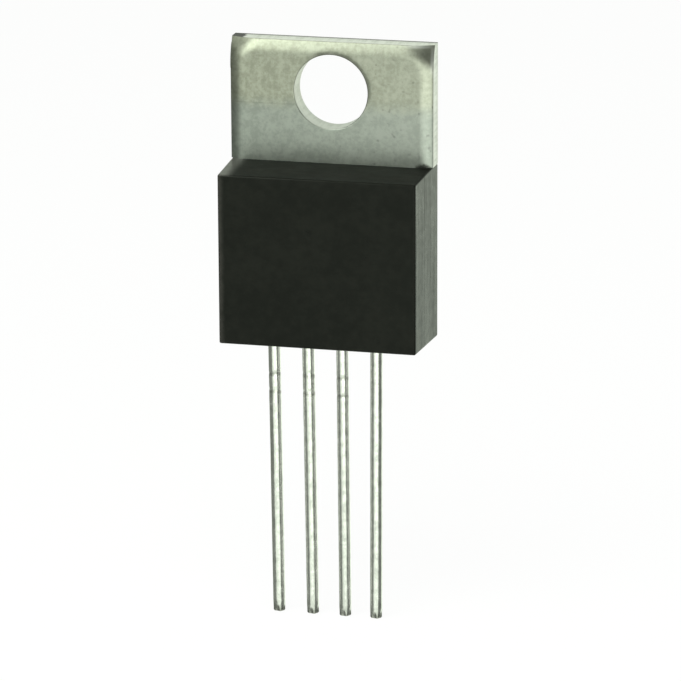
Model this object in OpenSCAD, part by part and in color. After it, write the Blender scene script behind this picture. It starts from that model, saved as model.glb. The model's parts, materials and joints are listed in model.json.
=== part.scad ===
// Power transistor in a moulded block with a screw-down tab and four round leads.
// Origin: axis of the tab's hole on the back face. +Z up the tab, the front face looks to -Y.

/* [Header] */
// Width of the tab
tab_w = 10.48; // [8.6:0.01:12.6]
// Height of the tab above the body
tab_h = 6.22; // [5.1:0.01:9]
// Thickness of the header
tab_t = 1.27; // [1:0.01:1.6]
// Diameter of the screw hole
hole_d = 3.8; // [2.8:0.02:4.7]
// Depth of the hole's axis below the top edge of the tab
hole_drop = 2.55; // [2.4:0.05:3.1]
// Bevel at the front rim of the hole
hole_break = 0.1; // [0.02:0.01:0.2]
// Width of the rounding that stamping leaves along the front edges
roll_w = 0.7; // [0.3:0.05:0.8]
// Depth of that rounding at the edge
roll_d = 0.2; // [0.1:0.05:0.3]
// Corner radius of the rounding, out to the edge
roll_corner = 1.5; // [0.9:0.1:2.2]
// Height of the sheared strip joint on the left edge
stub_h = 1.3; // [0.5:0.1:1.8]
// Depth of the strip joint below the top edge
stub_drop = 0.3; // [0.1:0.1:1]
// Distance that the strip joint stands proud
stub_out = 0.05; // [0.04:0.01:0.2]
// Plastic beside the die pad, measured at the front face
pad_cover = 0.65; // [0.5:0.05:1.2]
// Height of the die pad's lower end above the foot of the body
pad_stop = 1; // [0.6:0.1:1.4]
// Width of the coined step that locks the die pad in the plastic
lock_w = 0.35; // [0.2:0.05:0.6]
// Depth of the coined step from the back face
lock_d = 0.4; // [0.2:0.05:0.6]
// Width of the groove across the die pad
groove_w = 0.5; // [0.3:0.05:0.8]
// Depth of that groove
groove_d = 0.22; // [0.1:0.02:0.4]
// Distance of the groove below the top of the body
groove_drop = 0.9; // [0.6:0.05:1.1]

/* [Moulded body] */
// Width of the front face
body_w = 10.17; // [8.4:0.01:12.5]
// Height of the front face
body_h = 8.77; // [7.2:0.01:11]
// Depth from the front face to the back face
body_d = 4.4; // [3.6:0.05:5.5]
// Draft of the four sides, in degrees
draft = 2; // [0.5:0.25:4]
// Bevel along the edges of the front face
edge_break = 0.08; // [0.02:0.01:0.2]

/* [Leads] */
// Diameter of the wire
lead_d = 0.635; // [0.5:0.005:0.8]
// Distance between neighbouring leads
lead_pitch = 1.778; // [1.5:0.001:2.3]
// Length of the leads below the body
lead_len = 14.59; // [6:0.01:18]
// Distance of the leads' axes from the back face
lead_back = 2.65; // [2.3:0.05:2.9]
// Lean of each lead towards +X, in degrees, from left to right
lead_lean = [0.6, 0.65, 0.4, -0.2]; // [-2:0.05:2]
// Bevel at the cut tips
tip_break = 0.06; // [0.02:0.01:0.12]
// Length over which a wire narrows into its pressed end
press_len = 0.8; // [0.5:0.05:0.9]
// Height at which the pressed end has its full width
flare_len = 1; // [0.6:0.05:1.2]
// Height of the pressed end above the body's underside
paddle_len = 2.3; // [2.1:0.05:2.6]
// Width of the pressed end
paddle_w = 1.29; // [1.1:0.01:1.45]
// Thickness of the pressed end
paddle_t = 0.34; // [0.2:0.02:0.45]
// Height of the drain lead's bend above the body's underside
drain_bend = 0.85; // [0.6:0.05:1]
// Angle of that bend towards the header
drain_turn = 60; // [50:1:70]

/* [Chip] */
// Width of the chip
die_w = 4.2; // [3.4:0.1:5.2]
// Height of the chip
die_h = 3; // [2.4:0.1:3.6]
// Thickness of the chip
die_t = 0.28; // [0.15:0.01:0.4]
// Offset of the chip to the right
die_x = 0.15; // [-0.2:0.05:0.4]
// Distance of the chip above the pressed ends of the leads
die_gap = 0.8; // [0.4:0.05:1]
// Thickness of the solder layers
solder_t = 0.06; // [0.03:0.01:0.12]
// Distance that the solder reaches past what it holds
solder_rim = 0.15; // [0.05:0.05:0.3]

/* [Bond wires] */
// Diameter of the two source wires
source_wire_d = 0.38; // [0.25:0.01:0.46]
// Distance between the two source wires
source_wire_gap = 0.58; // [0.56:0.02:0.7]
// Diameter of the gate and sense wires
thin_wire_d = 0.2; // [0.12:0.01:0.25]
// Half of the angle that a wire's loop turns through
loop_half = 65; // [60:1:70]
// Height of the source and sense wires' feet above the chip's lower edge
source_foot = 1.2; // [0.9:0.05:1.5]
// Height of the gate wire's foot above the chip's lower edge
gate_foot = 0.5; // [0.4:0.05:0.8]
// Distance of the gate wire's foot from the chip's right edge
gate_inset = 0.45; // [0.35:0.05:0.7]
// Width of a pressed foot for each millimetre of wire
foot_spread = 1.4; // [1.2:0.05:1.45]
// Height of a pressed foot for each millimetre of wire
foot_rise = 0.5; // [0.4:0.05:0.6]
// Length of a pressed foot for each millimetre of wire
foot_long = 2; // [1.5:0.1:2.2]

/* [Hidden] */
$fn = 64;
// How far a cut runs past the face that it opens
over = 1;
plated_copper = [0.66, 0.68, 0.62];
black_epoxy = [0.13, 0.13, 0.11];
tinned_wire = [0.78, 0.80, 0.75];
grey_silicon = [0.35, 0.36, 0.40];
soft_solder = [0.60, 0.60, 0.58];
aluminium = [0.83, 0.83, 0.84];

// Places of the leads, from left to right
drain = 0;
source = 1;
sense = 2;
gate = 3;
lead_count = len(lead_lean);

// Heights of the body: where its top meets the header, and at its front face
slope = tan(draft);
body_top = hole_drop - tab_h;
front_top = body_top - (body_d - tab_t) * slope;
front_foot = front_top - body_h;
pad_w = body_w - 2 * pad_cover;
pad_foot = front_foot + pad_stop;
// The body's underside at the leads, and how far the round wire reaches past it
lead_foot = front_foot - (body_d - lead_back) * slope;
lead_root = lead_d * slope;

// Depths and heights of what stands before the header
die_back = -tab_t - solder_t;
die_front = die_back - die_t;
die_foot = lead_foot + paddle_len + die_gap;
paddle_front = -lead_back - paddle_t / 2;
paddle_mid = (flare_len + paddle_len) / 2;
drain_step = lead_back - tab_t - solder_t - paddle_t / 2;
drain_lap = drain_bend + drain_step / tan(drain_turn);

// The stamped edge is an arc that leaves the front face at a shallow angle
roll_entry = 4;
roll_slope = atan(roll_d / roll_w);
roll_exit = 2 * roll_slope - roll_entry;
roll_r = norm([roll_w, roll_d]) / (2 * sin(roll_slope - roll_entry));
roll_centre = [-roll_w, roll_d] / 2
    + roll_r * cos(roll_slope - roll_entry) * [-sin(roll_slope), cos(roll_slope)];

function lead_x(i) = (i - (lead_count - 1) / 2) * lead_pitch;

// Middle of a lead's pressed end, as [x, z]
function post(i) = [
    lead_x(i) - paddle_mid * sin(lead_lean[i]),
    lead_foot + paddle_mid * cos(lead_lean[i])
];

// Radius of the arc that tops a pressed foot
function foot_r(d) = (pow(foot_spread * d / 2, 2) + pow(foot_rise * d, 2)) / (2 * foot_rise * d);

// Extrudes an outline drawn as [y, z] across the width
module across(w) {
    rotate([90, 0, 90]) linear_extrude(w, center = true) children();
}

// Extrudes an outline drawn as [x, z] forwards from the depth y
module forwards(y, t) {
    translate([0, y, 0]) rotate([90, 0, 0]) linear_extrude(t) children();
}

// Body: one block with draft on four sides

module body_side() {
    polygon([
        [0, front_foot - body_d * slope],
        [edge_break - body_d, front_foot - edge_break * slope],
        [-body_d, front_foot + edge_break],
        [-body_d, front_top - edge_break],
        [edge_break - body_d, front_top + edge_break * slope],
        [-tab_t, body_top],
        [0, body_top]
    ]);
}

module body_plan() {
    half = body_w / 2;
    polygon([
        [-half - body_d * slope, 0],
        [-half - edge_break * slope, edge_break - body_d],
        [edge_break - half, -body_d],
        [half - edge_break, -body_d],
        [half + edge_break * slope, edge_break - body_d],
        [half + body_d * slope, 0]
    ]);
}

module body_block() {
    intersection() {
        across(body_w + body_d) body_side();
        translate([0, 0, front_foot - body_d]) linear_extrude(body_h + 2 * body_d) body_plan();
    }
}

module moulded_body() {
    color(black_epoxy) difference() {
        body_block();
        header();
        drain_lead();
        source_lead();
        sense_lead();
        gate_lead();
        silicon_die();
        die_solder();
        source_bond_wires();
        sense_bond_wire();
        gate_bond_wire();
        drain_solder();
    }
}

// Header: a stamped plate, wide at the tab and narrow where it is cast in

module header_outline() {
    translate([-tab_w / 2, body_top]) square([tab_w, tab_h]);
    translate([-pad_w / 2, pad_foot]) square([pad_w, body_top - pad_foot + over]);
    translate([-tab_w / 2 - stub_out, hole_drop - stub_drop - stub_h]) square([stub_out + over, stub_h]);
}

// What the rounded edge leaves out, drawn as [distance past the edge, depth behind the front face]
module roll_edge() {
    difference() {
        translate([-roll_w, -over]) square([roll_w + over, over + roll_d]);
        translate(roll_centre) circle(roll_r);
    }
}

// The same at a square corner, where the rounding runs on down to the tip
module roll_corner_edge() {
    tip = roll_corner * (sqrt(2) - 1) + over;
    roll_edge();
    polygon([[0, -over], [tip, -over], [tip, roll_d + tip * tan(roll_exit)], [0, roll_d]]);
}

module edge_rolls() {
    straight = tab_w - 2 * roll_corner;
    for (side = [0, 1]) mirror([side, 0, 0]) {
        translate([tab_w / 2, -tab_t, body_top - over])
            linear_extrude(tab_h + over - roll_corner) roll_edge();
        translate([straight / 2, -tab_t, hole_drop - roll_corner]) intersection() {
            rotate([90, 0, 0]) rotate_extrude(angle = 90)
                translate([roll_corner, 0]) mirror([0, 1]) roll_corner_edge();
            translate([0, -over, 0]) cube([roll_corner + over, tab_t + over, roll_corner + over]);
        }
    }
    translate([0, -tab_t, hole_drop]) across(straight) mirror([1, -1]) roll_edge();
}

module screw_hole() {
    translate([0, over, 0]) rotate([90, 0, 0]) cylinder(d = hole_d, h = tab_t + 2 * over);
    translate([0, hole_break - tab_t, 0]) rotate([90, 0, 0])
        cylinder(d1 = hole_d, d2 = hole_d + 4 * hole_break, h = 2 * hole_break);
}

module lock_step() {
    forwards(over, lock_d + over) difference() {
        translate([-pad_w / 2 - over, pad_foot - over])
            square([pad_w + 2 * over, body_top - pad_foot + over]);
        translate([lock_w - pad_w / 2, pad_foot + lock_w])
            square([pad_w - 2 * lock_w, body_top - pad_foot]);
    }
}

module pad_groove() {
    middle = body_top - groove_drop;
    across(pad_w + 2 * over) polygon([
        [groove_d - tab_t, middle],
        [-groove_d - tab_t, middle - groove_w],
        [-groove_d - tab_t, middle + groove_w]
    ]);
}

module header() {
    color(plated_copper) difference() {
        forwards(0, tab_t) header_outline();
        screw_hole();
        edge_rolls();
        lock_step();
        pad_groove();
    }
}

// Leads: round wires whose inner ends are pressed flat

module at_lead(i) {
    translate([lead_x(i), -lead_back, lead_foot]) rotate([0, -lead_lean[i], 0]) children();
}

module wire() {
    translate([0, 0, -lead_len]) {
        cylinder(d1 = lead_d - 2 * tip_break, d2 = lead_d, h = tip_break);
        translate([0, 0, tip_break]) cylinder(d = lead_d, h = lead_len - tip_break + lead_root);
    }
    translate([0, 0, lead_root]) cylinder(d1 = lead_d, d2 = paddle_t, h = press_len);
}

module paddle_outline() {
    start = press_len / 4;
    polygon([
        [-paddle_t / 2, start], [paddle_t / 2, start], [paddle_w / 2, flare_len],
        [paddle_w / 2, paddle_len], [-paddle_w / 2, paddle_len], [-paddle_w / 2, flare_len]
    ]);
}

module bonded_lead(i) {
    color(tinned_wire) at_lead(i) {
        wire();
        forwards(paddle_t / 2, paddle_t) paddle_outline();
    }
}

// The drain lead's flat end steps back and lies on the header
module drain_strip() {
    half = paddle_t / 2;
    mitre = half * tan(drain_turn / 2);
    polygon([
        [half, 0], [half, drain_bend - mitre],
        [drain_step + half, drain_lap - mitre], [drain_step + half, paddle_len],
        [drain_step - half, paddle_len], [drain_step - half, drain_lap + mitre],
        [-half, drain_bend + mitre], [-half, 0]
    ]);
}

module drain_lead() {
    color(tinned_wire) at_lead(drain) {
        wire();
        intersection() {
            forwards(lead_back, 2 * lead_back) paddle_outline();
            across(paddle_w + over) drain_strip();
        }
    }
}

module source_lead() {
    bonded_lead(source);
}

module sense_lead() {
    bonded_lead(sense);
}

module gate_lead() {
    bonded_lead(gate);
}

// Chip and solder

module silicon_die() {
    color(grey_silicon) translate([die_x - die_w / 2, die_front, die_foot]) cube([die_w, die_t, die_h]);
}

module die_solder() {
    color(soft_solder) translate([die_x - die_w / 2 - solder_rim, die_back, die_foot - solder_rim])
        cube([die_w + 2 * solder_rim, solder_t, die_h + 2 * solder_rim]);
}

module drain_solder() {
    w = paddle_w + 2 * solder_rim;
    color(soft_solder) at_lead(drain) translate([-w / 2, lead_back - tab_t - solder_t, drain_lap])
        cube([w, solder_t, paddle_len + solder_rim - drain_lap]);
}

// Bond wires: an arc from the chip to a lead, with a pressed foot at either end

module bond_foot(at, d) {
    r = foot_r(d);
    translate([at[0] - foot_long * d / 2, at[1] + foot_rise * d - r, 0])
        rotate([0, 90, 0]) cylinder(r = r, h = foot_long * d);
}

module bond_wire(from, to, d) {
    run = to - from;
    span = norm(run);
    rise = die_front - paddle_front;
    tilt = atan2(rise, span);
    r = norm([span, rise]) / (2 * sin(loop_half));
    centre = [span, rise] / 2 + r * cos(loop_half) * [sin(tilt), -cos(tilt)];
    spare = asin(d / r);
    reach = span + r;
    translate([from[0], die_front, from[1]]) rotate([180, atan2(-run[1], run[0]), 0]) intersection() {
        union() {
            translate(centre) rotate(tilt + 90 - loop_half - spare)
                rotate_extrude(angle = 2 * (loop_half + spare)) translate([r, 0]) circle(d = d);
            bond_foot([0, 0], d);
            bond_foot([span, rise], d);
        }
        linear_extrude(3 * d, center = true) polygon([
            [-reach, 0], [centre[0], 0], [centre[0], rise],
            [reach, rise], [reach, reach], [-reach, reach]
        ]);
    }
}

module source_bond_wires() {
    color(aluminium) for (side = [-1, 1]) {
        x = post(source)[0] + side * source_wire_gap / 2;
        bond_wire([x, die_foot + source_foot], [x, post(source)[1]], source_wire_d);
    }
}

module sense_bond_wire() {
    color(aluminium) bond_wire([post(sense)[0], die_foot + source_foot], post(sense), thin_wire_d);
}

module gate_bond_wire() {
    from = [die_x + die_w / 2 - gate_inset, die_foot + gate_foot];
    color(aluminium) bond_wire(from, post(gate), thin_wire_d);
}

header();
moulded_body();
drain_lead();
source_lead();
sense_lead();
gate_lead();
silicon_die();
die_solder();
source_bond_wires();
sense_bond_wire();
gate_bond_wire();
drain_solder();
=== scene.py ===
import json
from math import atan2, cos, hypot, pi, radians, sin, sqrt, tan

import bmesh
import bpy
from mathutils import Matrix, Vector


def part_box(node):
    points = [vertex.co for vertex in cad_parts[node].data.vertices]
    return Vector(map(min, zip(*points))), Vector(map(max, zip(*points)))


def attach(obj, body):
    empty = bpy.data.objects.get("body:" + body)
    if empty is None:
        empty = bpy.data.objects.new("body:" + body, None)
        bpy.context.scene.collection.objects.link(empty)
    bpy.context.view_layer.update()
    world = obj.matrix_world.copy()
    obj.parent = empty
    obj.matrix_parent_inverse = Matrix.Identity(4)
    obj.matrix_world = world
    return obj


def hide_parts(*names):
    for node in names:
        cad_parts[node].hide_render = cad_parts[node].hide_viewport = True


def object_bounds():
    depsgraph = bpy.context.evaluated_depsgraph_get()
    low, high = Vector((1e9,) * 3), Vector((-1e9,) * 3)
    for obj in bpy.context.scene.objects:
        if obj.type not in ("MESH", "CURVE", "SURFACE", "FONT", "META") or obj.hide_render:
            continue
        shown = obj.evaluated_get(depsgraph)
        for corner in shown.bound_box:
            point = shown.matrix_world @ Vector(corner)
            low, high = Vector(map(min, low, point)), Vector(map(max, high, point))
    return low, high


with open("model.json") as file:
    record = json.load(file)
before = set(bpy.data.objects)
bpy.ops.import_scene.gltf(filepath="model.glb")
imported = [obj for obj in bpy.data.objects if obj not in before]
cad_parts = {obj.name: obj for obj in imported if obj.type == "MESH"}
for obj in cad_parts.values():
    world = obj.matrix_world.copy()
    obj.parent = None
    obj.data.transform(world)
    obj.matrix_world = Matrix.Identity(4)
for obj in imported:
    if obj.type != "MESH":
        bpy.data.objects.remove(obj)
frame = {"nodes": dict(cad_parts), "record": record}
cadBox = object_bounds()
scene = bpy.context.scene
print("frame loaded,", len(frame["nodes"]), "nodes")

# everything is shaped in millimetres and brought to metres when it is finished
perMetre = 1000
close = 0.002  # places nearer than this are the same
facing = 0.9  # least share of a normal along the axis that its face looks to
cutSnap, mergeSnap = 1e-5, 1e-4


def boxOf(node):
    low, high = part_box(node)
    return low * perMetre, high * perMetre


# sizes from the frame
headerLow, headerHigh = boxOf("header")
bodyLow, bodyHigh = boxOf("moulded_body")
mounts = {m["name"]: m for m in frame["record"]["mounts"]}
tabHalf = headerHigh.x
tabTop = headerHigh.z
tabThick = -headerLow.y
bodyTop = bodyHigh.z
bodyDeep = -bodyLow.y
holeRadius = mounts["tab_hole"]["dims"]["r_mm"]
wireRadius = mounts["drain_pin"]["dims"]["r_mm"]
tipHeight = boxOf("gate_lead")[0].z

# sizes that more than one piece or finish needs
bodyDraft = 2  # degrees that the mould tapers
bodySlope = tan(radians(bodyDraft))
padHalf = 4.435  # die pad inside the body
lockWide, lockDeep = 0.35, 0.4  # step along the pad's back edges
tipLong = 0.5  # cut end of a lead


# handling meshes by operators

def addPiece(name, primitive, **settings):
    if bpy.context.mode != "OBJECT":
        bpy.ops.object.mode_set(mode="OBJECT")
    bpy.ops.object.select_all(action="DESELECT")
    primitive(**settings)
    piece = bpy.context.active_object
    piece.name = piece.data.name = name
    bpy.ops.object.transform_apply(location=True, rotation=True, scale=True)
    bpy.ops.object.mode_set(mode="EDIT")
    return piece


def copyPiece(piece, name):
    bpy.ops.object.mode_set(mode="OBJECT")
    bpy.ops.object.select_all(action="DESELECT")
    piece.select_set(True)
    bpy.context.view_layer.objects.active = piece
    bpy.ops.object.duplicate(linked=False)
    copied = bpy.context.active_object
    copied.name = copied.data.name = name
    bpy.ops.object.mode_set(mode="EDIT")
    return copied


def pickAll():
    bpy.ops.mesh.select_all(action="SELECT")


def pick(kind, wanted):
    bpy.ops.mesh.select_mode(type=kind)
    bpy.ops.mesh.select_all(action="DESELECT")
    mesh = bmesh.from_edit_mesh(bpy.context.edit_object.data)
    for item in {"VERT": mesh.verts, "EDGE": mesh.edges, "FACE": mesh.faces}[kind]:
        if wanted(item):
            item.select_set(True)
    mesh.select_flush_mode()
    bmesh.update_edit_mesh(bpy.context.edit_object.data)


def pickVerts(wanted):
    pick("VERT", lambda v: wanted(v.co))


def pickFaces(wanted):
    pick("FACE", lambda f: wanted(f.calc_center_median(), f.normal))


def pickRim(wanted):  # open edges whose two ends are both wanted
    pick("EDGE", lambda e: e.is_boundary and all(wanted(v.co) for v in e.verts))


def pickWire(wanted):  # open or loose edges
    pick("EDGE", lambda e: len(e.link_faces) < 2 and all(wanted(v.co) for v in e.verts))


def near(a, b):
    return abs(a - b) < close


def extrude(x=0.0, y=0.0, z=0.0):
    bpy.ops.mesh.extrude_region_move(TRANSFORM_OT_translate={"value": (x, y, z)})


def shift(x=0.0, y=0.0, z=0.0):
    bpy.ops.transform.translate(value=(x, y, z))


def stretch(x, y, z, about=(0, 0, 0)):
    bpy.ops.transform.resize(value=(x, y, z), center_override=about)


def cut(point, normal, drop=False):
    bpy.ops.mesh.bisect(plane_co=point, plane_no=normal, clear_outer=drop, threshold=cutSnap)


def cutAll(point, normal, drop=False):
    pickAll()
    cut(point, normal, drop)


def turns(steps, start=0.0):  # pairs of angles from the start to a right angle
    angles = [start + (pi / 2 - start) * step / steps for step in range(steps + 1)]
    return zip(angles, angles[1:])


def mend():
    pickAll()
    bpy.ops.mesh.remove_doubles(threshold=mergeSnap)
    bpy.ops.mesh.normals_make_consistent(inside=False)


def applyModifier(piece, kind, **settings):
    bpy.ops.object.mode_set(mode="OBJECT")
    modifier = piece.modifiers.new(kind.lower(), kind)
    for key, value in settings.items():
        setattr(modifier, key, value)
    bpy.context.view_layer.objects.active = piece
    bpy.ops.object.modifier_apply(modifier=modifier.name)


def cutAway(piece, tool):
    applyModifier(piece, "BOOLEAN", operation="DIFFERENCE", solver="EXACT", object=tool)
    bpy.data.objects.remove(tool)
    bpy.ops.object.mode_set(mode="EDIT")
    mend()
    bpy.ops.object.mode_set(mode="OBJECT")


def finishPiece(piece, node, finish, smooth):
    if bpy.context.mode != "EDIT_MESH":
        bpy.ops.object.select_all(action="DESELECT")
        piece.select_set(True)
        bpy.context.view_layer.objects.active = piece
        bpy.ops.object.mode_set(mode="EDIT")
    pickAll()
    stretch(1 / perMetre, 1 / perMetre, 1 / perMetre)
    bpy.ops.object.mode_set(mode="OBJECT")
    bpy.ops.object.shade_smooth_by_angle(angle=radians(smooth))
    applyModifier(piece, "WEIGHTED_NORMAL", mode="FACE_AREA", weight=100, keep_sharp=True)
    piece.data.materials.clear()
    piece.data.materials.append(finish)
    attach(piece, "root")
    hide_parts(node)
    print("made", piece.name, len(piece.data.polygons), "faces")


# writing materials as sums

class Value:
    def __init__(self, finish, socket):
        self.finish = finish
        self.socket = socket

    def maths(self, operation, first, second):
        return self.finish.node("ShaderNodeMath", {"operation": operation}, {0: first, 1: second})

    def __add__(self, other):
        return self.maths("ADD", self, other)

    def __radd__(self, other):
        return self.maths("ADD", other, self)

    def __sub__(self, other):
        return self.maths("SUBTRACT", self, other)

    def __rsub__(self, other):
        return self.maths("SUBTRACT", other, self)

    def __mul__(self, other):
        return self.maths("MULTIPLY", self, other)

    def __rmul__(self, other):
        return self.maths("MULTIPLY", other, self)

    def __pow__(self, other):
        return self.maths("POWER", self, other)

    def __abs__(self):
        return self.maths("ABSOLUTE", self, 0.0)

    def sway(self, size):  # a noise made to swing about nought
        return (self - 0.5) * size


class Finish:
    def __init__(self, owner):
        owner.use_nodes = True
        self.owner = owner
        self.tree = owner.node_tree
        self.tree.nodes.clear()

    def node(self, kind, settings=None, sockets=None, out=0):
        made = self.tree.nodes.new(kind)
        for key, value in (settings or {}).items():
            setattr(made, key, value)
        for key, value in (sockets or {}).items():
            if isinstance(value, Value):
                self.tree.links.new(value.socket, made.inputs[key])
            else:
                made.inputs[key].default_value = value
        if isinstance(out, int):
            return Value(self, made.outputs[out])
        return [Value(self, made.outputs[i]) for i in out]

    def place(self, stretched=(1, 1, 1)):  # object coordinates in millimetres
        where = self.node("ShaderNodeTexCoord", out=3)
        size = [perMetre * s for s in stretched]
        return self.node("ShaderNodeMapping", None, {"Vector": where, "Scale": size})

    def axes(self, where):
        return self.node("ShaderNodeSeparateXYZ", None, {0: where}, out=(0, 1, 2))

    def noise(self, where, scale, detail, rough):
        sockets = {"Vector": where, "Scale": scale, "Detail": detail, "Roughness": rough}
        return self.node("ShaderNodeTexNoise", None, sockets)

    def rise(self, value, low, high):  # 0 below low, 1 above high, smooth between
        sockets = {0: value, 1: low, 2: high, 3: 0.0, 4: 1.0}
        return self.node("ShaderNodeMapRange", {"interpolation_type": "SMOOTHSTEP"}, sockets)

    def fall(self, value, low, high):
        return 1 - self.rise(value, low, high)

    def skirt(self, value, edge, depths):  # rises towards an edge, from the first depth to the second
        return self.rise(value, edge - depths[0], edge - depths[1])

    def reach(self, value, edge, lengths):  # falls away from an edge, from the first length to the second
        return self.fall(value, edge + lengths[0], edge + lengths[1])

    def blend(self, share, first, second):
        colours = [c if isinstance(c, Value) else (*c, 1.0) for c in (first, second)]
        settings = {"data_type": "RGBA", "blend_type": "MIX"}
        return self.node("ShaderNodeMix", settings, {0: share, 6: colours[0], 7: colours[1]}, out=2)

    def bump(self, height, strength, distance):
        sockets = {"Height": height, "Strength": strength, "Distance": distance}
        return self.node("ShaderNodeBump", None, sockets)

    def surface(self, **sockets):
        named = {key.replace("_", " "): value for key, value in sockets.items()}
        shader = self.node("ShaderNodeBsdfPrincipled", None, named)
        self.show(shader)
        return self.owner

    def show(self, shader, kind="ShaderNodeOutputMaterial"):
        end = self.tree.nodes.new(kind)
        self.tree.links.new(shader.socket, end.inputs["Surface"])


def newFinish(name):
    return Finish(bpy.data.materials.new(name))


def weigh(values, shares):
    first, *others = [value * share for value, share in zip(values, shares)]
    return sum(others, first)


def either(first, *others):  # what at least one of the masks covers
    bare = 1 - first
    for mask in others:
        bare = bare * (1 - mask)
    return 1 - bare


# matt plate on the stamped header: warm above a tide line, cool and blotched below it, bright where it was
# sheared and dark where it was torn; a painted highlight along the upper right border, a painted shadow at
# the foot of the right edge and a painted dark reflection round the hole's upper right; noises are given by
# scale, detail and roughness

plateLook = dict(
    cloud=(0.45, 3.0, 0.55), mottle=(1.7, 6.0, 0.62), grain=(6.0, 4.0, 0.6), specks=(3.2, 1.0, 0.55),
    lines=(1.0, 4.0, 0.6), brushStretch=(4.0, 4.0, 0.25), shearStretch=(5.0, 0.5, 5.0),
    warmDark=(0.305, 0.303, 0.258), warmLight=(0.425, 0.422, 0.373), warmMix=(0.15, 0.4, 0.45),
    coolDark=(0.294, 0.308, 0.296), coolLight=(0.372, 0.382, 0.372), coolMix=(0.45, 0.55),
    contrast=(0.38, 0.62),
    # the bright sheared colour is also laid on as a painted highlight, and the dark stain colour also as
    # painted shade
    sheared=(0.74, 0.72, 0.72), broken=(0.55, 0.54, 0.53), stain=(0.03, 0.03, 0.027),
    tideHeight=-0.72, tideSoft=0.45, tideWave=0.1, tideFray=0.05, tideBlur=0.8,
    lineHalf=0.07, lineFade=(-3.2, 0.5), lineLoss=0.9, lineShare=0.13,
    paleAcross=(-5.0, 5.0), paleShare=0.1,
    speckRange=(0.62, 0.8), speckAcross=(-3.0, 3.0), speckShare=0.35,
    # a painted highlight along the upper right border of the front
    frontDeep=(0.3, 0.6), borderLong=(1.7, 0.85), borderWide=(0.2, 0.1), borderShare=0.9,
    # a painted shadow at the foot of the right edge, where the tab meets the body
    dentPlace=(4.75, -0.04), dentSize=(0.5, 0.3), dentFray=1.2, dentRange=(0.1, 1.1), dentShare=0.85,
    bandWide=(0.9, 0.45), bandAcross=(-2.0, 2.5), bandShare=0.13,
    # the ring at the hole's upper right is a painted dark reflection
    rubWide=(0.0, 0.45), rubFray=0.3, rimWide=(0.12, 0.24), rimFray=0.08, ringMix=(0.25, 0.35),
    ringLean=0.7, ringRange=(0.2, 1.8),
    wallSkin=(0.012, 0.004), holeSkin=(0.005, 0.03), holeShare=0.55,
    breakRange=(-0.7, -0.4), breakFray=1.2, shearRange=(0.4, 0.65), shearMix=(0.5, 0.5),
    burrEnd=(-4.65, -4.45), burrFray=0.4, burrShare=0.95,
    lipBack=(-0.28, -0.18), lipFray=0.1, lipShare=0.8,
    stubSkin=(0.02, 0.004), stubShare=0.8,
    roughness=0.33, roughSpread=0.14, coolRough=0.04, tornRough=0.5,
    skinMix=(0.4, 0.25, 0.5), skin=(0.3, 0.00001),
)


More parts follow.
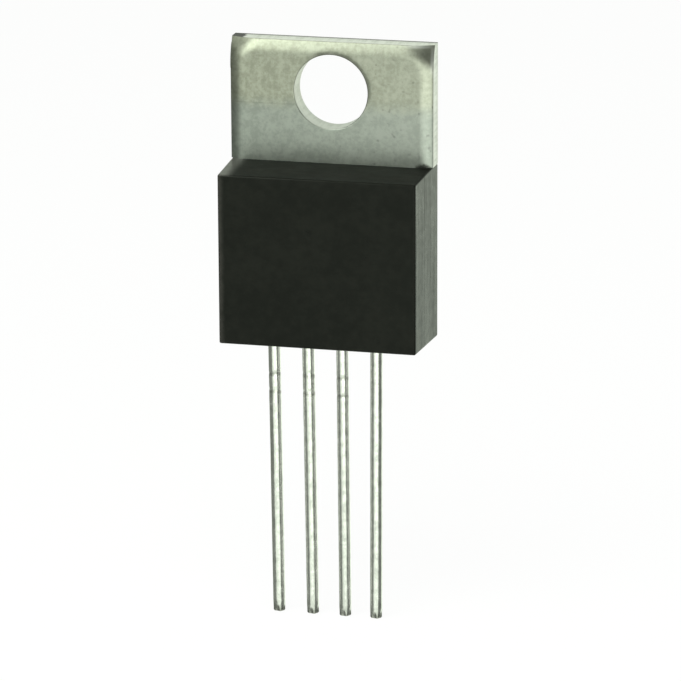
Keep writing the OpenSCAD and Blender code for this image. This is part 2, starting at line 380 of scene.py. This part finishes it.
def plateFinish(look):
    paint = newFinish("plated copper")
    where = paint.place()
    x, y, z = paint.axes(where)
    plain = ("cloud", "mottle", "grain", "specks")
    cloud, mottle, grain, specks = (paint.noise(where, *look[key]) for key in plain)
    brush = paint.noise(paint.place(look["brushStretch"]), *look["lines"])
    marks = paint.noise(paint.place(look["shearStretch"]), *look["lines"])

    # the tide runs soft, with a fine line that is clear at the left and fades to the right
    tide = z + cloud.sway(look["tideWave"]) + grain.sway(look["tideFray"])
    height, soft, half = look["tideHeight"], look["tideSoft"], look["lineHalf"]
    upper = paint.rise(tide + mottle.sway(look["tideBlur"]), height - soft, height + soft)
    fade = 1 - paint.rise(x, *look["lineFade"]) * look["lineLoss"]
    line = paint.rise(tide, height - half, height) * paint.fall(tide, height, height + half) * fade
    warm = paint.rise(weigh((brush, grain, mottle), look["warmMix"]), *look["contrast"])
    warm = paint.blend(warm, look["warmDark"], look["warmLight"])
    cool = paint.rise(weigh((grain, mottle), look["coolMix"]), *look["contrast"])
    cool = paint.blend(cool, look["coolDark"], look["coolLight"])
    tone = paint.blend(upper, cool, warm)
    tone = paint.blend(line * look["lineShare"], tone, look["stain"])

    # paler and specked towards the right
    tone = paint.blend(paint.rise(x, *look["paleAcross"]) * look["paleShare"], tone, look["sheared"])
    spots = paint.rise(specks, *look["speckRange"]) * paint.rise(x, *look["speckAcross"])
    tone = paint.blend(spots * look["speckShare"], tone, look["stain"])

    # on the front, a painted highlight round the upper right corner and a painted shadow at the foot of
    # that edge
    front = paint.reach(y, -tabThick, look["frontDeep"])
    corner = paint.skirt(x + z, tabHalf + tabTop, look["borderLong"])
    highlightBorder = either(paint.skirt(x, tabHalf, look["borderWide"]), paint.skirt(z, tabTop, look["borderWide"]))
    tone = paint.blend(front * corner * highlightBorder * look["borderShare"], tone, look["sheared"])
    aside = (x - look["dentPlace"][0]) * (1 / look["dentSize"][0])
    above = (z - bodyTop - look["dentPlace"][1]) * (1 / look["dentSize"][1])
    away = aside * aside + above * above + grain.sway(look["dentFray"])
    footShadow = paint.fall(away, *look["dentRange"])
    tone = paint.blend(front * footShadow * look["dentShare"], tone, look["stain"])

    # a darker band along the top, and a painted dark reflection in a ring on the upper right of the hole
    band = paint.skirt(z, tabTop, look["bandWide"]) * paint.rise(x, *look["bandAcross"])
    tone = paint.blend(front * band * look["bandShare"], tone, look["stain"])
    out = (x * x + z * z) ** 0.5
    rubbed = paint.reach(out + mottle.sway(look["rubFray"]), holeRadius, look["rubWide"])
    rim = paint.reach(out + grain.sway(look["rimFray"]), holeRadius, look["rimWide"])
    ring = weigh((rubbed, rim), look["ringMix"]) * paint.rise(x * look["ringLean"] + z, *look["ringRange"])
    tone = paint.blend(front * ring, tone, look["stain"])

    # sheared walls all round and in the hole
    sideWall = paint.skirt(abs(x), tabHalf, look["wallSkin"])
    topWall = paint.skirt(z, tabTop, look["wallSkin"])
    holeWall = paint.reach(out, holeRadius, look["holeSkin"])
    broken = paint.rise(y + marks.sway(look["breakFray"]), *look["breakRange"])
    shear = weigh((broken, paint.rise(marks, *look["shearRange"])), look["shearMix"])
    shear = paint.blend(shear, look["sheared"], look["broken"])
    tone = paint.blend(either(sideWall, topWall, holeWall * look["holeShare"]), tone, shear)

    # torn dark along the back of the top edge, at its left end and on the strip joint
    burr = topWall * paint.fall(x + mottle.sway(look["burrFray"]), *look["burrEnd"])
    lip = topWall * paint.rise(y + grain.sway(look["lipFray"]), *look["lipBack"])
    stub = 1 - paint.skirt(x, -tabHalf, look["stubSkin"])
    torn = either(burr * look["burrShare"], lip * look["lipShare"], stub * look["stubShare"])
    tone = paint.blend(torn, tone, look["stain"])

    rough = look["roughness"] + mottle.sway(look["roughSpread"])
    rough = rough + (1 - upper) * look["coolRough"] + torn * look["tornRough"]
    skin = paint.bump(weigh((grain, brush, mottle), look["skinMix"]), *look["skin"])
    return paint.surface(Base_Color=tone, Metallic=1 - torn, Roughness=rough, Normal=skin)


# moulded epoxy: near black and finely pitted, with streaks from the mould's draw

epoxyLook = dict(
    cloud=(0.5, 3.0, 0.55), mottle=(2.6, 4.0, 0.6), pits=(11.0, 2.0, 0.55),
    streak=(1.0, 4.0, 0.6), streakStretch=(1.0, 2.2, 0.12),
    dark=(0.0012, 0.0016, 0.0008), light=(0.0042, 0.0046, 0.0032),
    toneMix=(0.6, 0.4), contrast=(0.36, 0.66),
    sideSkin=(0.012, 0.004), sideAcross=(-9.0, 5.0),
    scuff=(0.02, 0.023, 0.021), scuffMix=(0.6, 0.4), scuffRange=(0.3, 0.7),
    dust=(0.05, 0.053, 0.047), dustHeight=(-10.5, -4.0), dustFray=2.0,
    # a painted sheen along the left edge of the front
    worn=(0.034, 0.033, 0.029), wornWide=(0.0, 0.35), wornDeep=(0.05, 0.15), wornFray=0.3, wornShare=0.8,
    # the pale colour at the top's left end is a painted sheen; the smoother end is real
    rubbed=(0.1, 0.1, 0.09), rubbedEnd=(-4.9, -4.2), rubbedShare=0.6, topSkin=(0.06, 0.02),
    roughness=0.32, topRoughness=0.62, streakRough=0.16, sideStreak=0.4, mottleRough=0.12, sideMottle=0.2,
    skinMix=(0.6, 0.4), skin=(0.25, 0.000006), specular=0.18,
)


def epoxyFinish(look):
    paint = newFinish("black epoxy")
    where = paint.place()
    x, y, z = paint.axes(where)
    cloud, mottle, pits = (paint.noise(where, *look[key]) for key in ("cloud", "mottle", "pits"))
    streak = paint.noise(paint.place(look["streakStretch"]), *look["streak"])
    tone = paint.rise(weigh((mottle, cloud), look["toneMix"]), *look["contrast"])
    tone = paint.blend(tone, look["dark"], look["light"])

    # scuffed and dusty sides, the left one less
    side = paint.skirt(abs(x) - y * bodySlope, bodyHigh.x, look["sideSkin"])
    side = side * paint.rise(x, *look["sideAcross"])
    scuffed = paint.rise(weigh((streak, mottle), look["scuffMix"]), *look["scuffRange"])
    tone = paint.blend(side * scuffed, tone, look["scuff"])
    dusty = paint.rise(z + mottle.sway(look["dustFray"]), *look["dustHeight"])
    tone = paint.blend(side * dusty, tone, look["dust"])

    # painted sheen, paler along the left edge of the front
    leftEdge = bodyDeep * bodySlope - bodyHigh.x
    worn = paint.reach(x + mottle.sway(look["wornFray"]), leftEdge, look["wornWide"])
    worn = worn * paint.reach(y, -bodyDeep, look["wornDeep"])
    tone = paint.blend(worn * look["wornShare"], tone, look["worn"])

    # the top is dull, but rubbed smooth at its left end, where a painted sheen makes it pale
    top = paint.skirt(z - (y + tabThick) * bodySlope, bodyTop, look["topSkin"])
    dull = paint.rise(x, *look["rubbedEnd"])
    tone = paint.blend(top * (1 - dull) * look["rubbedShare"], tone, look["rubbed"])

    rough = look["roughness"] + streak.sway(side * look["sideStreak"] + look["streakRough"])
    rough = rough + mottle.sway(side * look["sideMottle"] + look["mottleRough"])
    rough = rough + top * dull * (look["topRoughness"] - look["roughness"])
    skin = paint.bump(weigh((pits, mottle), look["skinMix"]), *look["skin"])
    return paint.surface(Base_Color=tone, Roughness=rough, Normal=skin, Specular_IOR_Level=look["specular"])


# bright tin on the round wires, a little mottled, dull at the cut tips and at the nicks

tinLook = dict(
    mottle=(2.4, 4.0, 0.6), draw=(1.0, 3.0, 0.55), drawStretch=(7.0, 7.0, 0.4), mix=(0.6, 0.4),
    dark=(0.74, 0.73, 0.73), light=(0.97, 0.95, 0.96), contrast=(0.36, 0.62),
    dull=(0.40, 0.39, 0.38), dullFray=0.3,
    marks=(1.73, 2.67), markHalf=0.17, markEnd=(2.0, 2.1), markShare=0.7,
    roughness=0.24, roughSpread=0.18, skin=(0.3, 0.00004),
)


def tinFinish(look):
    paint = newFinish("tinned wire")
    where = paint.place()
    x, _, z = paint.axes(where)
    mottle = paint.noise(where, *look["mottle"])
    draw = paint.noise(paint.place(look["drawStretch"]), *look["draw"])
    uneven = weigh((mottle, draw), look["mix"])
    tone = paint.blend(paint.rise(uneven, *look["contrast"]), look["dark"], look["light"])
    height = z + mottle.sway(look["dullFray"])
    tone = paint.blend(paint.reach(height, tipHeight, (0.0, tipLong)), tone, look["dull"])
    nicked = paint.fall(x, *look["markEnd"])  # the last lead has no nicks
    for drop in look["marks"]:
        mark = paint.fall(abs(height - bodyLow.z + drop), 0.0, look["markHalf"]) * nicked
        tone = paint.blend(mark * look["markShare"], tone, look["dull"])
    rough = look["roughness"] + mottle.sway(look["roughSpread"])
    skin = paint.bump(uneven, *look["skin"])
    return paint.surface(Base_Color=tone, Metallic=1.0, Roughness=rough, Normal=skin)


# finishes of what is cast in

innerLook = {
    "soft solder": dict(dark=(0.36, 0.36, 0.34), light=(0.62, 0.62, 0.60), metal=1.0, roughness=0.42,
                        cloud=(3.0, 4.0, 0.55)),
    "grey silicon": dict(dark=(0.20, 0.21, 0.25), light=(0.38, 0.39, 0.44), metal=0.6, roughness=0.25,
                         cloud=(6.0, 4.0, 0.55)),
    "bond aluminium": dict(dark=(0.66, 0.66, 0.67), light=(0.86, 0.86, 0.87), metal=1.0, roughness=0.30,
                           cloud=(5.0, 4.0, 0.55)),
}
innerSurface = dict(contrast=(0.35, 0.65), roughSpread=0.3, skin=(0.3, 0.00003))


def innerFinish(name, look, surface):
    paint = newFinish(name)
    cloud = paint.noise(paint.place(), *look["cloud"])
    tone = paint.blend(paint.rise(cloud, *surface["contrast"]), look["dark"], look["light"])
    rough = look["roughness"] + cloud.sway(surface["roughSpread"])
    skin = paint.bump(cloud, *surface["skin"])
    return paint.surface(Base_Color=tone, Metallic=look["metal"], Roughness=rough, Normal=skin)


plate = plateFinish(plateLook)
epoxy = epoxyFinish(epoxyLook)
tin = tinFinish(tinLook)
inner = {name: innerFinish(name, look, innerSurface) for name, look in innerLook.items()}
print("finishes written")


# header: the rounded edge is drawn once, run round the tab, then closed to a plate

headerShape = dict(
    rollWidth=0.7, rollDepth=0.2, rollEntry=0.5, rollSides=192, rollCorner=1.5, cornerSteps=40,
    edgeRound=0.025, edgeSteps=4, backRound=0.03, backSteps=3,
    rimRound=0.06, rimSteps=6, holeSides=128, holeBeyond=0.2,
    grooveHalf=0.25, grooveDeep=0.22, grooveDrop=0.9,
    stubDrop=0.3, stubHigh=1.3, stubSteps=3, smooth=25,
)


def makeHeader(shape):
    wide, deep, edge = shape["rollWidth"], shape["rollDepth"], shape["edgeRound"]
    slope, entry = atan2(deep, wide), radians(shape["rollEntry"])
    fall = 2 * slope - entry  # tilt of the rounding where it meets the edge
    radius = hypot(wide, deep) / (2 * sin(slope - entry))
    inward = radius * cos(slope - entry)
    front = -tabThick
    middle = (wide / 2 - tabHalf + inward * sin(slope), front + deep / 2 + inward * cos(slope), bodyTop)
    piece = addPiece("stamped_header", bpy.ops.mesh.primitive_circle_add, vertices=shape["rollSides"],
                     radius=radius, fill_type="NOTHING", location=middle)
    edgeX, edgeZ = tabHalf - edge, tabTop - edge
    cutAll((wide - tabHalf, 0, 0), (1, 0, 0), drop=True)
    cutAll((-edgeX, 0, 0), (-1, 0, 0), drop=True)
    cutAll((0, 0, 0), (0, 1, 0), drop=True)

    # up the left edge, round the corner, along the top and down the right edge
    turnX = tabHalf - shape["rollCorner"]
    turnZ = tabTop - shape["rollCorner"]
    corner = dict(steps=shape["cornerSteps"], angle=pi / 2, axis=(0, -1, 0))
    pickAll()
    extrude(z=turnZ - bodyTop)
    bpy.ops.mesh.spin(center=(-turnX, 0, turnZ), **corner)
    extrude(x=2 * turnX)
    bpy.ops.mesh.spin(center=(turnX, 0, turnZ), **corner)
    extrude(z=bodyTop - turnZ)

    # the rounding runs on to the tips of the square corners
    arc = shape["rollCorner"] - edge
    reach = shape["rollCorner"] * sqrt(2)
    for side in (-1, 1):
        def onArc(p, side=side):
            away = hypot(p.x - side * turnX, p.z - turnZ)
            return near(away, arc) and p.z > turnZ - close and side * p.x > turnX - close
        pickRim(onArc)
        extrude(y=(reach - arc) * tan(fall))
        stretch(reach / arc, 1, reach / arc, (side * turnX, 0, turnZ))
    cutAll((edgeX, 0, 0), (1, 0, 0), drop=True)
    cutAll((-edgeX, 0, 0), (-1, 0, 0), drop=True)
    cutAll((0, 0, edgeZ), (0, 0, 1), drop=True)

    # rounded front edges, sheared sides and rounded back edges
    pickRim(lambda p: near(abs(p.x), edgeX) or near(p.z, edgeZ))
    curve = edge / (1 - sin(fall))
    out = -edge
    for before, turn in turns(shape["edgeSteps"], fall):
        out = growRim(out, curve * (sin(turn) - 1), curve * (cos(before) - cos(turn)))
    back = shape["backRound"]
    extrude()
    stretch(1, 0, 1, (0, -back, 0))
    for before, turn in turns(shape["backSteps"]):
        out = growRim(out, back * (cos(turn) - 1), back * (sin(turn) - sin(before)))

    # close the front, the back and the foot of the tab
    for depth, half in ((front, tabHalf - wide), (0, tabHalf - back)):
        pickVerts(lambda p: near(p.z, bodyTop) and near(p.y, depth) and near(abs(p.x), half))
        bpy.ops.mesh.edge_face_add()
        pickWire(lambda p: near(p.y, depth))
        bpy.ops.mesh.edge_face_add()
    pickWire(lambda p: near(p.z, bodyTop))
    bpy.ops.mesh.edge_face_add()
    mend()
    addPad(shape)
    addStub(shape)
    mend()
    cutAway(piece, screwHole(shape))
    finishPiece(piece, "header", plate, shape["smooth"])


def growRim(now, then, y):  # the rim grows to the next distance past the tab's edges
    extrude(y=y)
    tall = tabTop - bodyTop
    stretch((tabHalf + then) / (tabHalf + now), 1, (tall + then) / (tall + now), (0, 0, bodyTop))
    return then


def addPad(shape):  # die pad below the tab, with a step along its back edges
    stepHalf = padHalf - lockWide
    stepFoot = headerLow.z + lockWide

    def foot(p, normal):
        return near(p.z, bodyTop) and abs(normal.z) > facing

    for across in (-padHalf, -stepHalf, stepHalf, padHalf):
        pickFaces(foot)
        cut((across, 0, 0), (1, 0, 0))
    pickFaces(foot)
    cut((0, -lockDeep, 0), (0, 1, 0))
    pickFaces(lambda p, n: foot(p, n) and abs(p.x) < (padHalf if p.y < -lockDeep else stepHalf))
    extrude(z=stepFoot - bodyTop)
    pickFaces(lambda p, n: near(p.z, stepFoot) and p.y < -lockDeep)
    extrude(z=headerLow.z - stepFoot)
    mend()

    # groove across the pad that keys it in the epoxy
    grooveZ = bodyTop - shape["grooveDrop"]
    for up in (-1, 0, 1):
        pickFaces(lambda p, n: near(p.y, -tabThick) and p.z < bodyTop)
        cut((0, 0, grooveZ + up * shape["grooveHalf"]), (0, 0, 1))
    pickVerts(lambda p: near(p.y, -tabThick) and near(p.z, grooveZ))
    shift(y=shape["grooveDeep"])


def addStub(shape):  # sheared strip joint that swells from the left edge
    high = tabTop - shape["stubDrop"]
    low = high - shape["stubHigh"]

    def onWall(p, normal):
        return near(p.x, -tabHalf) and normal.x < -facing

    for height in (low, high):
        pickFaces(onWall)
        cut((0, 0, height), (0, 0, 1))
    pickFaces(lambda p, n: onWall(p, n) and low < p.z < high)
    steps = shape["stubSteps"]
    tall = 1.0
    for step in range(1, steps + 1):
        extrude(x=(tabHalf + headerLow.x) / steps)
        slim = sqrt(1 - (step / (steps + 1)) ** 2)
        stretch(1, slim / tall, slim / tall, (0, -tabThick / 2, (low + high) / 2))
        tall = slim


def screwHole(shape):  # cutter with a rounded front rim
    beyond, rim, back = shape["holeBeyond"], shape["rimRound"], shape["backRound"]
    tool = addPiece("holeCutter", bpy.ops.mesh.primitive_circle_add, vertices=shape["holeSides"],
                    radius=holeRadius + rim, fill_type="NGON", location=(0, -tabThick - beyond, 0),
                    rotation=(pi / 2, 0, 0))
    pickAll()
    extrude(y=beyond)
    for before, turn in turns(shape["rimSteps"]):
        extrude(y=rim * (cos(before) - cos(turn)))
        shrink = (holeRadius + rim * (1 - sin(turn))) / (holeRadius + rim * (1 - sin(before)))
        stretch(shrink, 1, shrink)
    extrude(y=tabThick - rim - back)
    extrude(y=back)
    stretch(1 + back / holeRadius, 1, 1 + back / holeRadius)
    extrude(y=beyond)
    mend()
    return tool


makeHeader(headerShape)


# moulded body: a drafted block, straight beside the header and with a fine seam at the leads

bodyShape = dict(
    edgeRound=0.09, edgeSteps=4, edgeAngle=60,
    seamBack=2.65, seamHalf=0.05, seamOut=0.005,
    seatBeyond=1, leadRoom=0.01, leadSides=48, smooth=30,
)


def makeBody(shape):
    backHalf = bodyHigh.x
    frontHalf = backHalf - bodyDeep * bodySlope
    backFoot = bodyLow.z
    frontFoot = backFoot + bodyDeep * bodySlope
    frontTop = bodyTop - (bodyDeep - tabThick) * bodySlope
    piece = addPiece("epoxy_body", bpy.ops.mesh.primitive_cube_add, size=1,
                     location=(0, -bodyDeep / 2, (bodyTop + backFoot) / 2),
                     scale=(2 * backHalf, bodyDeep, bodyTop - backFoot))
    shrink = (frontTop - frontFoot) / (bodyTop - backFoot)
    still = (frontTop - shrink * bodyTop) / (1 - shrink)
    pickVerts(lambda p: near(p.y, -bodyDeep))
    stretch(frontHalf / backHalf, 1, shrink, (0, 0, still))

    # behind the header's face the top runs straight
    cutAll((0, -tabThick, 0), (0, 1, 0))
    pickVerts(lambda p: near(p.y, -tabThick) and p.z > (bodyTop + backFoot) / 2)
    stretch(1, 1, 0, (0, 0, bodyTop))

    # fine seam where the mould closed on the leads
    for aside in (-1, 0, 1):
        cutAll((0, -shape["seamBack"] + aside * shape["seamHalf"], 0), (0, 1, 0))
    pickVerts(lambda p: near(p.y, -shape["seamBack"]))
    grow = shape["seamOut"]
    stretch(1 + grow / backHalf, 1, 1 + grow / (bodyTop - backFoot), (0, 0, bodyTop))
    mend()
    applyModifier(piece, "BEVEL", width=shape["edgeRound"], segments=shape["edgeSteps"],
                  limit_method="ANGLE", angle_limit=radians(shape["edgeAngle"]))

    # seats for the header and the four leads
    cutAway(piece, headerSeat(shape))
    cutAway(piece, leadSeats(shape))
    finishPiece(piece, "moulded_body", epoxy, shape["smooth"])


def headerSeat(shape):  # the pad's own outline, open to the top and the back
    beyond = shape["seatBeyond"]
    stepHalf, stepFoot = padHalf - lockWide, headerLow.z + lockWide
    top = bodyTop + beyond
    tool = addPiece("seat", bpy.ops.mesh.primitive_cube_add, size=1,
                    location=(0, -(tabThick + lockDeep) / 2, (top + headerLow.z) / 2),
                    scale=(2 * padHalf, tabThick - lockDeep, top - headerLow.z))
    for across in (-stepHalf, stepHalf):
        cutAll((across, 0, 0), (1, 0, 0))
    cutAll((0, 0, stepFoot), (0, 0, 1))
    pickFaces(lambda p, n: n.y > facing and abs(p.x) < stepHalf and p.z > stepFoot)
    extrude(y=lockDeep + beyond)
    mend()
    return tool


def leadSeats(shape):
    tool = addPiece("holes", bpy.ops.mesh.primitive_cylinder_add, vertices=shape["leadSides"],
                    radius=wireRadius + shape["leadRoom"], depth=2 * shape["seatBeyond"])
    bpy.ops.object.mode_set(mode="OBJECT")
    holes = []
    for name in leadNames:
        hole = copyPiece(tool, name)
        pickAll()
        shift(*leadTop(name))
        bpy.ops.object.mode_set(mode="OBJECT")
        holes.append(hole)
    bpy.data.objects.remove(tool)
    for hole in holes:
        hole.select_set(True)
    bpy.context.view_layer.objects.active = holes[0]
    bpy.ops.object.join()
    return holes[0]


# leads: drawn up from the cut tip, then pressed flat inside the body

leadNames = ("drain", "source", "sense", "gate")
leadShape = dict(
    sides=48, ring=0.12, tipBreak=0.06, tipSteps=4, tipFlat=0.6,
    ridgeTurn=24, ridgeSqueeze=0.975, ridgeHalves=(36, 26, 16),
    flareLong=1.0, paddleLong=2.3, paddleHalf=0.645, paddleThick=0.34,
    bendLow=0.85, bendHigh=1.5, solderThick=0.06,
    nicks={"drain": (1.75, 2.65), "source": (1.68, 2.66), "sense": (1.81, 2.72), "gate": ()},
    nickDeep=0.045, waver=0.014, waverScale=0.9, waverMiddle=0.9, smooth=40,
)


def leadTop(name):  # where a lead's axis meets the underside
    mount = mounts[name + "_pin"]
    place = Vector(mount["pos_m"]) * perMetre
    axis = Vector(mount["axis"])
    underside = bodyLow.z - bodySlope * place.y
    return place + axis * ((underside - place.z) / axis.z)


def makeLeads(shape):
    reach = leadTop("gate").z - tipHeight
    wire = addPiece("wire", bpy.ops.mesh.primitive_circle_add, vertices=shape["sides"],
                    radius=wireRadius - shape["tipBreak"], fill_type="NGON", location=(0, 0, -reach))
    pickAll()
    extrude(z=shape["tipBreak"])
    grow = wireRadius / (wireRadius - shape["tipBreak"])
    stretch(grow, grow, 1)
    rings = round((reach - shape["tipBreak"]) / shape["ring"])
    for ring in range(rings):
        extrude(z=(reach - shape["tipBreak"]) / rings)
    shapeTip(shape, reach)
    for name in leadNames:
        lead = copyPiece(wire, name + "_wire")
        for height in shape["nicks"][name]:
            nick(shape, height)
        press(shape, name == "drain")
        lean(name)
        ripple(lead, shape)
        finishPiece(lead, name + "_lead", tin, shape["smooth"])
    bpy.data.objects.remove(wire)


def shapeTip(shape, reach):  # the cutter leaves the tip flattened, with a blunt ridge at the front
    turn, squeeze = radians(shape["ridgeTurn"]), shape["ridgeSqueeze"]
    flat = shape["tipFlat"] ** (1 / shape["tipSteps"])

    def shoulder(p):  # angle to the nearest middle between two ridges
        return abs((atan2(p.y, p.x) - turn) % (pi / 2) - pi / 4)

    for step in range(shape["tipSteps"]):
        height = tipLong * (1 - step / shape["tipSteps"]) - reach
        for half in shape["ridgeHalves"]:
            pickVerts(lambda p: p.z < height and shoulder(p) < radians(half))
            stretch(squeeze, squeeze, 1)
        pickVerts(lambda p: p.z < height)
        stretch(1, flat, 1)


def nick(shape, height):
    half = shape["ring"] / 2 + close
    pickVerts(lambda p: abs(p.z + height) < half)
    stretch(1 - shape["nickDeep"], 1 - shape["nickDeep"], 1, (0, wireRadius, 0))


def press(shape, bent):
    flat = shape["paddleThick"] / 2 / wireRadius
    broad = shape["paddleHalf"] / wireRadius
    pickFaces(lambda p, n: near(p.z, 0) and abs(n.z) > facing)
    extrude(z=shape["bendLow"] if bent else shape["flareLong"])
    stretch(broad, flat, 1)
    if bent:
        back = -mounts["drain_pin"]["pos_m"][1] * perMetre - tabThick - shape["solderThick"]
        extrude(y=back - shape["paddleThick"] / 2, z=shape["bendHigh"] - shape["bendLow"])
        extrude(z=shape["paddleLong"] - shape["bendHigh"])
    else:
        extrude(z=shape["paddleLong"] - shape["flareLong"])


def lean(name):
    axis = Vector(mounts[name + "_pin"]["axis"])
    pickAll()
    bpy.ops.transform.rotate(value=atan2(axis.x, -axis.z), orient_axis="Y", center_override=(0, 0, 0))
    shift(*leadTop(name))
    mend()


def ripple(lead, shape):  # the drawn wire is never quite even
    clouds = bpy.data.textures.new("ripple", "CLOUDS")
    clouds.noise_scale = shape["waverScale"]
    applyModifier(lead, "DISPLACE", texture=clouds, texture_coords="LOCAL",
                  mid_level=shape["waverMiddle"], strength=shape["waver"])


makeBody(bodyShape)
makeLeads(leadShape)

# the pieces cast in keep their CAD meshes
innerNodes = {
    "silicon_die": "grey silicon",
    "die_solder": "soft solder", "drain_solder": "soft solder",
    "source_bond_wires": "bond aluminium", "sense_bond_wire": "bond aluminium",
    "gate_bond_wire": "bond aluminium",
}
for node, name in innerNodes.items():
    materials = frame["nodes"][node].data.materials
    materials.clear()
    materials.append(inner[name])
print("inner pieces painted")


# camera, as the photograph was taken

cameraView = dict(
    azimuth=13.938, elevation=15.879, roll=0.276, distance=226.181, aside=1.195, above=0.453,
    aimHeight=-12.55, focalPixels=4500, imagePixels=681, sensor=36, clip=0.01,
)


def addCamera(view):
    az, el, roll = (radians(view[key]) for key in ("azimuth", "elevation", "roll"))
    right = Vector((cos(az), sin(az), 0))
    back = Vector((sin(az) * cos(el), -cos(az) * cos(el), sin(el)))
    up = back.cross(right)
    aim = Vector((0, -bodyDeep, view["aimHeight"]))
    place = aim + right * view["aside"] + up * view["above"] + back * view["distance"]
    across = right * cos(roll) - up * sin(roll)
    upright = right * sin(roll) + up * cos(roll)
    data = bpy.data.cameras.new("camera")
    data.sensor_width = view["sensor"]
    data.lens = view["focalPixels"] * view["sensor"] / view["imagePixels"]
    data.clip_start = view["clip"]
    camera = bpy.data.objects.new("camera", data)
    turned = Matrix((across, upright, back)).transposed().to_4x4()
    camera.matrix_world = Matrix.Translation(place / perMetre) @ turned
    scene.collection.objects.link(camera)
    scene.camera = camera


# white studio: pale floor, two soft boxes for matt surfaces, and cards beside the part that only gloss sees

studioLook = dict(
    floorSize=4.0, floorTone=(0.88, 0.88, 0.88), floorWhite=0.92, ambient=0.6, tint=(0.90, 1.0, 0.84),
    boxes={
        "topBox": dict(place=(-40, -150, 190), size=(220, 200), power=0.6),
        "rightBox": dict(place=(190, -205, 10), size=(190, 320), power=0.4),
    },
    cardDistance=160,
    cards={
        "leftCard": dict(azimuth=(-140, -34), height=(-280, 25), glow=0.22),
        "cornerCard": dict(azimuth=(-140, -64), height=(25, 200), glow=0.2),
        "rightCard": dict(azimuth=(52, 125), height=(-280, 280), glow=0.18),
        "upperCard": dict(azimuth=(9, 60), height=(17, 160), glow=0.22),
        "topGlow": dict(azimuth=(-36, -18), height=(12, 250), glow=4.8),
        "rightGlow": dict(azimuth=(0, 48), height=(-57, 0), glow=2.5),
        "backGlow": dict(azimuth=(140, 178), height=(-160, 60), glow=1.16),
    },
)


def addStudio(studio):
    middle = Vector((0, -bodyDeep / 2, (cadBox[0].z + cadBox[1].z) / 2 * perMetre))
    world = bpy.data.worlds.new("studio")
    scene.world = world
    paint = Finish(world)
    camera, glossy, through = paint.node("ShaderNodeLightPath", out=(0, 3, 6))
    seen = paint.rise(camera + glossy + through, 0.0, 1.0)
    strength = studio["ambient"] + seen * (1 - studio["ambient"])
    tone = paint.blend(camera, studio["tint"], (1, 1, 1))
    sky = paint.node("ShaderNodeBackground", None, {"Color": tone, "Strength": strength})
    paint.show(sky, "ShaderNodeOutputWorld")
    world.cycles.sampling_method = "NONE"  # so that gloss meets the white backdrop at its full strength
    addFloor(studio)
    for name, box in studio["boxes"].items():
        addBox(name, box, middle)
    for name, card in studio["cards"].items():
        addCard(name, card, studio)


def addFloor(studio):
    bpy.ops.object.select_all(action="DESELECT")
    bpy.ops.mesh.primitive_plane_add(size=studio["floorSize"], location=(0, 0, cadBox[0].z))
    floor = bpy.context.active_object
    floor.name = "floor"
    floor.visible_glossy = False
    paint = newFinish("pale floor")
    camera = paint.node("ShaderNodeLightPath")
    matt = paint.node("ShaderNodeBsdfDiffuse", None, {"Color": (*studio["floorTone"], 1)})
    white = paint.node("ShaderNodeEmission", None, {"Color": (1, 1, 1, 1), "Strength": 1.0})
    share = camera * studio["floorWhite"]
    paint.show(paint.node("ShaderNodeMixShader", None, {0: share, 1: matt, 2: white}))
    floor.data.materials.append(paint.owner)


def addBox(name, box, middle):
    data = bpy.data.lights.new(name, "AREA")
    data.shape = "RECTANGLE"
    data.size, data.size_y = (s / perMetre for s in box["size"])
    data.energy = box["power"]
    lamp = bpy.data.objects.new(name, data)
    place = Vector(box["place"])
    lamp.location = place / perMetre
    lamp.rotation_euler = (middle - place).to_track_quat("-Z", "Y").to_euler()
    lamp.visible_camera = lamp.visible_glossy = False
    scene.collection.objects.link(lamp)


def addCard(name, card, studio):  # a plane that faces the part, given by its azimuths from the front
    distance = studio["cardDistance"]
    left, right = (radians(a) for a in card["azimuth"])
    low, high = card["height"]
    az, half = (left + right) / 2, (right - left) / 2
    place = Vector((sin(az) * distance, -cos(az) * distance, (low + high) / 2))
    bpy.ops.mesh.primitive_plane_add(size=1, location=place / perMetre, rotation=(pi / 2, 0, az))
    flag = bpy.context.active_object
    flag.name = name
    flag.scale = (2 * distance * tan(half) / perMetre, (high - low) / perMetre, 1)
    paint = newFinish(name)
    glow = {"Color": (*studio["tint"], 1), "Strength": card["glow"]}
    paint.show(paint.node("ShaderNodeEmission", None, glow))
    flag.data.materials.append(paint.owner)
    flag.visible_camera = flag.visible_diffuse = flag.visible_shadow = flag.visible_transmission = False


addCamera(cameraView)
addStudio(studioLook)
scene.view_settings.view_transform = "Standard"
print("studio set")
